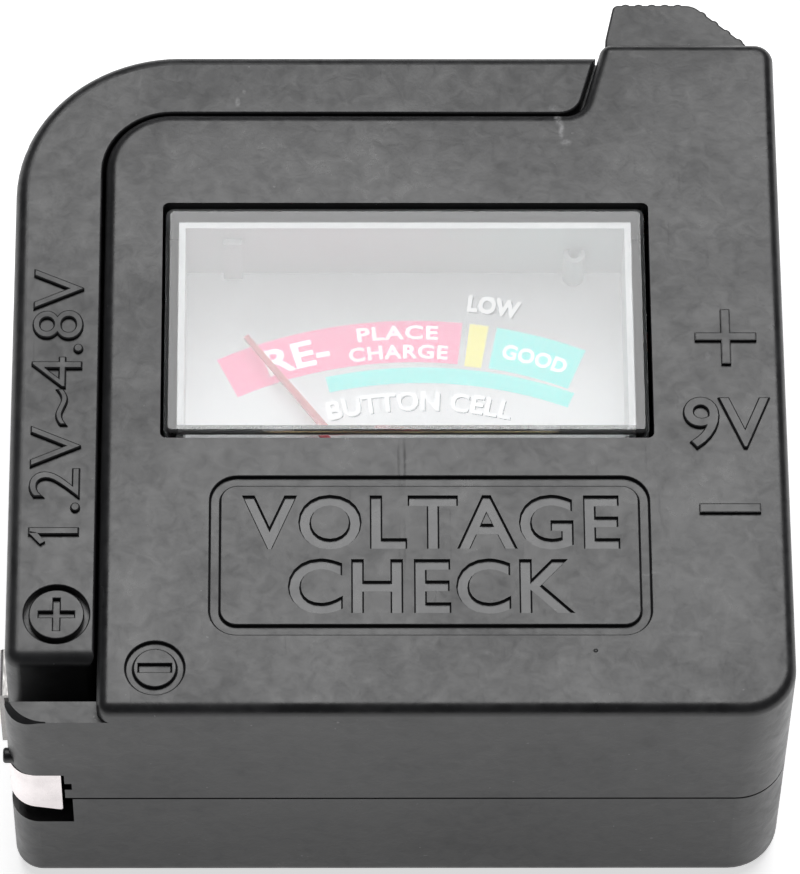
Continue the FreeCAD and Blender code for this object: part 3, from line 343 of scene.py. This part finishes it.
# Shallow flow lines and one pit: middle, half width, half height and depth in mm
CASE_DENTS = (
    (at(30.2, 21.6, 27.7), 0.42, 3.4, 0.05),
    (at(30.2, 14.0, 27.7), 0.35, 4.6, 0.03),
    (at(44.8, 5.2, 27.7), 0.22, 0.18, 0.05),
)
ARM_MARKS = (
    (at(42.4, 54.1, 27.7), 0.6, 0.45, PALE_RUB, 0.7),
    (at(17.4, 54.6, 27.7), 0.28, 0.6, BRIGHT_RUB, 0.5),
    (at(17.9, 55.6, 27.7), 0.2, 0.4, BRIGHT_RUB, 0.4),
    (at(3.4, 12.3, 27.7), 0.6, 0.25, PALE_RUB, 0.3),
)
MATERIALS = {
    "case_black": black_abs("case_black", (0.014, 0.0142, 0.015), 0.36, CASE_MARKS, CASE_DENTS),
    "arm_black": black_abs("arm_black", (0.014, 0.0142, 0.015), 0.38, ARM_MARKS),
    "screw_steel": metal("screw_steel", (0.62, 0.62, 0.63), 0.3),
    "nickel": metal("nickel", (0.91, 0.85, 0.85), 0.22, (1.0, 0.15, 1.0)),
    "brass": metal("brass", (0.80, 0.60, 0.28), 0.28, (0.15, 1.0, 1.0)),
    "clear_cover": clear_plastic("clear_cover"),
    "white_plastic": plastic("white_plastic", (0.80, 0.81, 0.81), 0.4, 0.3, 0.04),
    # The upper and lower card colours paint shade at the top and light towards the bottom
    "dial_print": dial_card("dial_print", (0.38, 0.385, 0.39), (0.86, 0.865, 0.87)),
    "pointer_red": plastic("pointer_red", (0.62, 0.02, 0.05), 0.35, 0.15),
    "magnet": plastic("magnet", (0.07, 0.07, 0.075), 0.5, 0.15),
    "yoke_steel": metal("yoke_steel", (0.5, 0.5, 0.5), 0.4, (1.0, 1.0, 0.2)),
    "copper_winding": winding("copper_winding"),
    "weight_brass": metal("weight_brass", (0.78, 0.64, 0.38), 0.3),
    "bronze_spring": metal("bronze_spring", (0.62, 0.42, 0.2), 0.3),
    "jewel_screw": metal("jewel_screw", (0.82, 0.66, 0.36), 0.25),
    "lead_red": plastic("lead_red", (0.5, 0.02, 0.02), 0.4),
    "lead_black": plastic("lead_black", (0.02, 0.02, 0.02), 0.4),
    "resistor_body": resistor_material(),
    # A paler copy of the case's black: painted sheen on the title letters' floors
    "sunk_black": black_abs("sunk_black", (0.075, 0.076, 0.078), 0.32),
    # Pale opaque plastic for the cover's outer sides: painted light in place of the highlights on its clear
    # rim
    "cover_edge": plastic("cover_edge", (0.82, 0.83, 0.84), 0.35, 0.4, 0.05),
    # A darker copy of the nickel: painted shade on the arm's contact
    "shaded_nickel": metal("shaded_nickel", (0.42, 0.41, 0.40), 0.42, (1.0, 0.15, 1.0)),
}
INKS = {
    "red": print_ink("ink_red", (0.95, 0.14, 0.34), 0.22),
    "yellow": print_ink("ink_yellow", (0.97, 0.88, 0.08), 0.2),
    "green": print_ink("ink_green", (0.10, 0.86, 0.78), 0.18),
    "white": print_ink("ink_white", (0.97, 0.97, 0.97), 0.3),
    # Grey ink for the painted shadows under two white words
    "painted_shadow": print_ink("ink_painted_shadow", (0.20, 0.20, 0.21), 0.0),
}
# The arm's contact takes the darker nickel, painted shade
SPECIAL_MATERIAL = {"arm_contact": "shaded_nickel"}


def paint_cad_nodes():
    """Each CAD node takes the material of its slot in the record; a few have a material of their own, such
    as the arm's contact, whose darker nickel paints shade on it.
    """
    slots = {part["node"]: part["material_slot"] for part in frame["record"]["subparts"]}
    for name, obj in frame["nodes"].items():
        obj.data.materials.clear()
        obj.data.materials.append(MATERIALS[SPECIAL_MATERIAL.get(name, slots[name])])


# ---------------------------------------------------------------- mesh helpers

def link(obj, body, material):
    """Put a new piece in the scene, riding on that body, with its material."""
    bpy.context.scene.collection.objects.link(obj)
    obj.data.materials.append(material)
    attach(obj, body)


def weld(mesh):
    """Join points that lie on each other."""
    bm = bmesh.new()
    bm.from_mesh(mesh)
    bmesh.ops.remove_doubles(bm, verts=bm.verts, dist=1e-7)
    bm.to_mesh(mesh)
    bm.free()


def close_gaps(mesh):
    """Join split points and fill the hairline gaps that the cutting leaves."""
    bm = bmesh.new()
    bm.from_mesh(mesh)
    bmesh.ops.remove_doubles(bm, verts=bm.verts, dist=1e-6)
    bmesh.ops.dissolve_degenerate(bm, edges=bm.edges, dist=1e-7)
    loose = [edge for edge in bm.edges if len(edge.link_faces) == 1]
    bmesh.ops.holes_fill(bm, edges=loose, sides=8)
    bm.to_mesh(mesh)
    bm.free()


def shade_by_angle(mesh, degrees):
    """Smooth shading, with edges sharper than the angle kept crisp."""
    if "custom_normal" in mesh.attributes:
        mesh.attributes.remove(mesh.attributes["custom_normal"])
    bm = bmesh.new()
    bm.from_mesh(mesh)
    limit = math.radians(degrees)
    for face in bm.faces:
        face.smooth = True
    for edge in bm.edges:
        edge.smooth = len(edge.link_faces) == 2 and edge.calc_face_angle(0.0) < limit
    bm.to_mesh(mesh)
    bm.free()


def thicken(mesh, depth, bevel):
    """Turn a flat face mesh into a closed slab of that depth above it, with eased upper edges."""
    bm = bmesh.new()
    bm.from_mesh(mesh)
    bmesh.ops.remove_doubles(bm, verts=bm.verts, dist=1e-7)
    bmesh.ops.dissolve_degenerate(bm, edges=bm.edges, dist=1e-7)
    bm.normal_update()
    bottom = list(bm.faces)
    for face in bottom:
        if face.normal.z > 0:
            face.normal_flip()
    rim = [edge for edge in bm.edges if len(edge.link_faces) == 1]
    above = {vertex: bm.verts.new(vertex.co + Vector((0, 0, depth))) for vertex in list(bm.verts)}
    for face in bottom:
        bm.faces.new([above[vertex] for vertex in reversed(face.verts)])
    for edge in rim:
        first, second = edge.verts
        bm.faces.new((first, second, above[second], above[first]))
    bmesh.ops.recalc_face_normals(bm, faces=bm.faces)
    if bevel > 0:
        corners = []
        for edge in rim:
            corners.append(bm.edges.get((above[edge.verts[0]], above[edge.verts[1]])))
        bmesh.ops.bevel(bm, geom=corners, offset=bevel, segments=2, profile=0.7, affect="EDGES",
                        clamp_overlap=True)
    bm.to_mesh(mesh)
    bm.free()


def slab_from_outline(name, points, z, depth_mm, body, material, bevel_mm=0.0):
    """Closed slab over one outline of (x, y) points in metres."""
    mesh = bpy.data.meshes.new(name)
    bm = bmesh.new()
    bm.faces.new([bm.verts.new((x, y, z)) for x, y in points])
    bm.to_mesh(mesh)
    bm.free()
    thicken(mesh, depth_mm * MM, bevel_mm * MM)
    link(bpy.data.objects.new(name, mesh), body, material)


# ---------------------------------------------------------------- lettering on the case and the arm

# In mm: how far letters stand up or go down, half the height of their closed solids, and the width
# over which their sides slope. STEEPNESS stretches the slopes upwards.
RAISED_PROUD = 0.3
RAISED_HALF = 0.3
RAISED_SLOPE = 0.13
TITLE_DEPTH = 0.3
TITLE_HALF = 0.45
TITLE_SLOPE = 0.13
STEEPNESS = 1.8
FRONT_MM = 28.0
ARM_FRONT_MM = 27.4

# Each title word with its middle's height, its width and its height in mm
TITLE_ROWS = (("VOLTAGE", 16.3, 28.6, 4.5), ("CHECK", 10.75, 21.4, 4.5))
TITLE_MIDDLE = 32.4


def text_mesh(name, text, weight=0.0, spacing=1.0, extrude=0.0, slope=0.0):
    """One line of the built-in plain face, with its box centred on the origin; flat unless extruded."""
    curve = bpy.data.curves.new(name, "FONT")
    curve.body = text
    curve.size = 1.0
    curve.offset = weight
    curve.space_character = spacing
    curve.resolution_u = 5
    curve.extrude = extrude
    curve.bevel_depth = slope
    curve.bevel_resolution = 1
    temp = bpy.data.objects.new(name, curve)
    bpy.context.scene.collection.objects.link(temp)
    bpy.context.view_layer.update()
    shown = temp.evaluated_get(bpy.context.evaluated_depsgraph_get())
    mesh = bpy.data.meshes.new_from_object(shown)
    bpy.data.objects.remove(temp)
    xs = [v.co.x for v in mesh.vertices]
    ys = [v.co.y for v in mesh.vertices]
    middle = Vector(((min(xs) + max(xs)) / 2, (min(ys) + max(ys)) / 2, 0.0))
    mesh.transform(Matrix.Translation(-middle))
    return mesh, max(xs) - min(xs), max(ys) - min(ys)


def solid_text(name, text, centre, width, height, half_depth, slope, turn=0.0, weight=0.0, spacing=1.0):
    """Closed letters of that size in millimetres; their sides slope over slope mm at each face."""
    _, wide, high = text_mesh(name, text, weight, spacing)
    unit = height * MM / high
    straight = (half_depth / STEEPNESS - slope) * MM / unit
    mesh, _, _ = text_mesh(name, text, weight, spacing, straight, slope * MM / unit)
    size = Matrix.Diagonal((width * MM / wide, unit, unit * STEEPNESS, 1.0))
    mesh.transform(Matrix.Translation(centre) @ Matrix.Rotation(turn, 4, "Z") @ size)
    weld(mesh)
    return mesh


def raised_text(name, text, centre, width, height, turn=0.0, weight=0.0, body="case", slot="case_black"):
    """Letters that stand RAISED_PROUD above the plane of centre, facing up."""
    middle = centre + Vector((0, 0, (RAISED_PROUD - RAISED_HALF) * MM))
    mesh = solid_text(name, text, middle, width, height, RAISED_HALF, RAISED_SLOPE, turn, weight)
    mesh.materials.clear()
    shade_by_angle(mesh, 35)
    link(bpy.data.objects.new(name, mesh), body, MATERIALS[slot])


def bar_outline(centre_x, centre_y, half_x, half_y):
    """Corners of a bar, given in mm, as (x, y) in metres."""
    low, high = at(centre_x - half_x, centre_y - half_y, 0), at(centre_x + half_x, centre_y + half_y, 0)
    return [(low.x, low.y), (high.x, low.y), (high.x, high.y), (low.x, high.y)]


def plus_outline(centre_x, centre_y, half_x, half_y, stroke):
    """Corners of a plus sign, given in mm, as (x, y) in metres."""
    half = stroke / 2
    corners = [(-half_x, -half), (-half, -half), (-half, -half_y), (half, -half_y), (half, -half),
               (half_x, -half), (half_x, half), (half, half), (half, half_y), (-half, half_y),
               (-half, half), (-half_x, half)]
    return [at(centre_x + x, centre_y + y, 0).to_2d() for x, y in corners]


def case_marks():
    """Raised marks: the two snap terminals' signs, 9V, and the cell voltage range on the arm."""
    material = MATERIALS["case_black"]
    slab_from_outline("mark_plus", plus_outline(55.42, 32.6, 2.4, 2.48, 0.76), FRONT_MM * MM,
                      RAISED_PROUD, "case", material, 0.12)
    slab_from_outline("mark_minus", bar_outline(55.34, 17.39, 2.36, 0.42), FRONT_MM * MM,
                      RAISED_PROUD, "case", material, 0.12)
    raised_text("mark_9v", "9V", at(55.32, 24.92, FRONT_MM), 6.5, 4.35, weight=0.004)
    raised_text("mark_range", "1.2V~4.8V", at(3.56, 27.25, ARM_FRONT_MM), 23.4, 3.75, math.pi / 2,
                weight=-0.012, body="arm", slot="arm_black")


def one_flag():
    """Short flag at the head of the range's figure 1, which the built-in face leaves plain."""
    head = at(1.69, 15.6, 0)
    points = [(0.0, 0.15), (0.6, 0.0), (1.25, -0.8), (0.85, -1.05), (0.0, -0.1)]
    slab_from_outline("mark_range_flag", [(head.x + x * MM, head.y + y * MM) for x, y in points],
                      ARM_FRONT_MM * MM, RAISED_PROUD, "arm", MATERIALS["arm_black"], 0.05)


def lettered_front():
    """The front shell with two plain title words sunk into the panel inside its band."""
    cutter = bpy.data.meshes.new("title_cutter")
    bm = bmesh.new()
    for word, y, width, height in TITLE_ROWS:
        centre = at(TITLE_MIDDLE, y, FRONT_MM - TITLE_DEPTH + TITLE_HALF)
        mesh = solid_text("word_" + word, word, centre, width, height, TITLE_HALF, TITLE_SLOPE,
                          weight=0.008, spacing=1.08)
        bm.from_mesh(mesh)
    bm.to_mesh(cutter)
    bm.free()
    # The cutter's paler black paints a sheen on the letter floors
    cutter.materials.append(MATERIALS["sunk_black"])
    tool = bpy.data.objects.new("title_cutter", cutter)
    bpy.context.scene.collection.objects.link(tool)
    shell = frame["nodes"]["front_shell"]
    piece = bpy.data.objects.new("front_shell_lettered", shell.data.copy())
    bpy.context.scene.collection.objects.link(piece)
    weld(piece.data)
    cut = piece.modifiers.new("letters", "BOOLEAN")
    cut.operation = "DIFFERENCE"
    cut.solver = "EXACT"
    cut.material_mode = "TRANSFER"
    cut.object = tool
    shown = piece.evaluated_get(bpy.context.evaluated_depsgraph_get())
    mesh = bpy.data.meshes.new_from_object(shown)
    piece.modifiers.clear()
    piece.data = mesh
    bpy.data.objects.remove(tool)
    # Only the flat floors of the letters keep the cutter's paler black, which paints a sheen on them
    for face in mesh.polygons:
        if face.normal.z < 0.95:
            face.material_index = 0
    close_gaps(mesh)
    shade_by_angle(mesh, 30)
    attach(piece, "case")
    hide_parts("front_shell")


# A face this close to the cover's box, in mm, is one of its outer sides
EDGE_NEAR = 0.12


def edged_cover():
    """The clear cover, with pale opaque plastic on the faces round its outside: painted light standing in
    for the highlights its clear rim catches.
    """
    low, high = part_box("meter_cover")
    mesh = frame["nodes"]["meter_cover"].data.copy()
    mesh.materials.append(MATERIALS["cover_edge"])
    near = EDGE_NEAR * MM
    for face in mesh.polygons:
        middle = face.center
        outside = (middle.x - low.x < near or high.x - middle.x < near
                   or middle.y - low.y < near or high.y - middle.y < near)
        # The outer sides take the pale plastic, which paints light on the cover's rim
        if outside and abs(face.normal.z) < 0.3:
            face.material_index = 1
    piece = bpy.data.objects.new("meter_cover_edged", mesh)
    bpy.context.scene.collection.objects.link(piece)
    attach(piece, "case")
    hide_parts("meter_cover")


# ---------------------------------------------------------------- printed dial

# Centres and radii of the two bands, in mm from the case's lower left corner
ARC_CENTRE = (31.3, 3.4)
ARC_OUTER = 35.3
ARC_INNER = 31.55
THIN_CENTRE = (31.9, 2.4)
THIN_OUTER = 32.05
THIN_INNER = 30.65
# The painted shadows, grey copies below the white words, are turned about centres moved a little right and
# down
LOW_SHADE_CENTRE = (31.42, 3.28)
BUTTON_SHADE_CENTRE = (32.0, 2.3)
# In mm: the ink's thickness, its gap over the card and the step from one layer to the next
INK_THICKNESS = 0.02
INK_LIFT = 0.004
INK_STEP = 0.022


def arc_band(name, centre, inner, outer, start, stop, material):
    """Printed band between two radii, from one angle to another, in degrees left (-) or right of +Y."""
    steps = max(4, int(abs(stop - start) * 1.5))
    angles = [math.radians(start + (stop - start) * i / steps) for i in range(steps + 1)]
    rim = [(centre[0] + outer * math.sin(a), centre[1] + outer * math.cos(a)) for a in angles]
    back = [(centre[0] + inner * math.sin(a), centre[1] + inner * math.cos(a)) for a in reversed(angles)]
    points = [at(x, y, 0).to_2d() for x, y in rim + back]
    slab_from_outline(name, points, DIAL_TOP + INK_LIFT * MM, INK_THICKNESS, "case", material)


def bent_text(name, text, centre, radius, angle, width, height, material, weight=0.0, spacing=1.0, level=1):
    """Printed word that follows an arc; its middle sits at that radius and angle, on ink layer level."""
    mesh, wide, high = text_mesh(name, text, weight, spacing)
    for vertex in mesh.vertices:
        turn = math.radians(angle) + vertex.co.x / wide * width / radius
        reach = radius + vertex.co.y / high * height
        place = at(centre[0] + reach * math.sin(turn), centre[1] + reach * math.cos(turn), 0)
        vertex.co = (place.x, place.y, DIAL_TOP + (INK_LIFT + INK_STEP * level) * MM)
    thicken(mesh, INK_THICKNESS * MM, 0.0)
    link(bpy.data.objects.new(name, mesh), "case", material)


def printed_dial():
    """Red, yellow and green scale with its white words, two of them with a painted shadow below: a grey
    copy moved a little right and down.
    """
    red, yellow, green, white = (INKS[k] for k in ("red", "yellow", "green", "white"))
    arc_band("scale_red", ARC_CENTRE, ARC_INNER, ARC_OUTER, -26.0, 6.3, red)
    arc_band("scale_yellow", ARC_CENTRE, ARC_INNER - 0.1, ARC_OUTER, 7.3, 9.7, yellow)
    arc_band("scale_green", ARC_CENTRE, ARC_INNER, ARC_OUTER, 10.8, 22.6, green)
    arc_band("scale_button", THIN_CENTRE, THIN_INNER, THIN_OUTER, -13.6, 22.0, green)
    bent_text("word_re", "RE-", ARC_CENTRE, 33.4, -16.0, 5.2, 2.3, white, 0.02)
    bent_text("word_place", "PLACE", ARC_CENTRE, 34.25, -2.1, 6.4, 1.25, white, 0.02, 1.1)
    bent_text("word_charge", "CHARGE", ARC_CENTRE, 32.5, -2.1, 7.8, 1.25, white, 0.02, 1.1)
    # Painted shadow: a grey copy of LOW, a little right and down, below the white word
    bent_text("word_low_painted_shadow", "LOW", LOW_SHADE_CENTRE, 37.2, 9.9, 4.1, 1.55, INKS["painted_shadow"], 0.03, 1.1, 0)
    bent_text("word_low", "LOW", ARC_CENTRE, 37.2, 9.9, 4.1, 1.55, white, 0.03, 1.1)
    bent_text("word_good", "GOOD", ARC_CENTRE, 33.3, 16.7, 5.2, 1.35, white, 0.03, 1.05)
    # Painted shadow: a grey copy of BUTTON CELL, a little right and down, below the white words
    bent_text("word_button_painted_shadow", "BUTTON CELL", BUTTON_SHADE_CENTRE, 29.0, -0.3, 14.6, 1.7, INKS["painted_shadow"],
              0.02, 1.05, 0)
    bent_text("word_button", "BUTTON CELL", THIN_CENTRE, 29.0, -0.3, 14.6, 1.7, white, 0.02, 1.05)


# ---------------------------------------------------------------- camera and light

# The camera's height angle and its turn to the right, in degrees, its lens in mm and its place
CAMERA_ELEVATION = 60.5
CAMERA_YAW = 0.674
CAMERA_LENS = 278.6
CAMERA_PLACE = (23.96, -232.7, 481.3)


def make_camera():
    """Just over half a metre away, well above the front and a little left of the case's middle."""
    elevation = math.radians(CAMERA_ELEVATION)
    yaw = math.radians(CAMERA_YAW)
    up = Vector((0, math.sin(elevation), math.cos(elevation)))
    ahead = Vector((0, math.cos(elevation), -math.sin(elevation)))
    look = ahead * math.cos(yaw) + Vector((1, 0, 0)) * math.sin(yaw)
    right = look.cross(up).normalized()
    data = bpy.data.cameras.new("camera")
    data.lens = CAMERA_LENS
    data.sensor_width = 36.0
    data.clip_start = 0.01
    data.clip_end = 20.0
    camera = bpy.data.objects.new("camera", data)
    axes = Matrix((right, up, -look)).transposed()
    camera.matrix_world = Matrix.Translation(at(*CAMERA_PLACE)) @ axes.to_4x4()
    bpy.context.scene.collection.objects.link(camera)
    bpy.context.scene.camera = camera


def area_light(name, centre, target, width, height, watts):
    data = bpy.data.lights.new(name, "AREA")
    data.shape = "RECTANGLE"
    data.size = width
    data.size_y = height
    data.energy = watts
    light = bpy.data.objects.new(name, data)
    light.location = centre
    light.rotation_euler = (target - centre).to_track_quat("-Z", "Y").to_euler()
    bpy.context.scene.collection.objects.link(light)


def make_stage():
    """White floor with some light of its own, so that it renders white round the tester."""
    mesh = bpy.data.meshes.new("floor")
    bm = bmesh.new()
    bmesh.ops.create_grid(bm, x_segments=1, y_segments=1, size=3.0)
    bm.to_mesh(mesh)
    bm.free()
    floor = bpy.data.objects.new("floor", mesh)
    floor.location.z = -0.00002
    mat, tree, bsdf = new_material("floor", (0.9, 0.9, 0.9), 0.7)
    bsdf.inputs["Specular IOR Level"].default_value = 0.2
    bsdf.inputs["Emission Color"].default_value = (1.0, 1.0, 1.0, 1.0)
    bsdf.inputs["Emission Strength"].default_value = FLOOR_GLOW
    mesh.materials.append(mat)
    bpy.context.scene.collection.objects.link(floor)


def make_world():
    """Pale to the camera and dim to everything else, as in a studio with one large soft light."""
    world = bpy.data.worlds.new("studio")
    bpy.context.scene.world = world
    world.use_nodes = True
    tree = world.node_tree
    background = tree.nodes["Background"]
    path = tree.nodes.new("ShaderNodeLightPath")
    mixed = mix_color(tree, path.outputs["Is Camera Ray"], (0.06, 0.06, 0.065), (0.9, 0.9, 0.9))
    tree.links.new(mixed, background.inputs["Color"])


def make_lights():
    """One softbox high behind, where the front mirrors it into the camera; the rest stays dim."""
    middle = Vector((0, 0, 0.02))
    area_light("softbox", middle + Vector((0.05, 0.43, 1.01)), middle, 0.95, 0.72, 11.0)


make_camera()
make_world()
make_stage()
make_lights()
bpy.context.scene.view_settings.view_transform = "Standard"
paint_cad_nodes()
lettered_front()
edged_cover()
case_marks()
one_flag()
printed_dial()
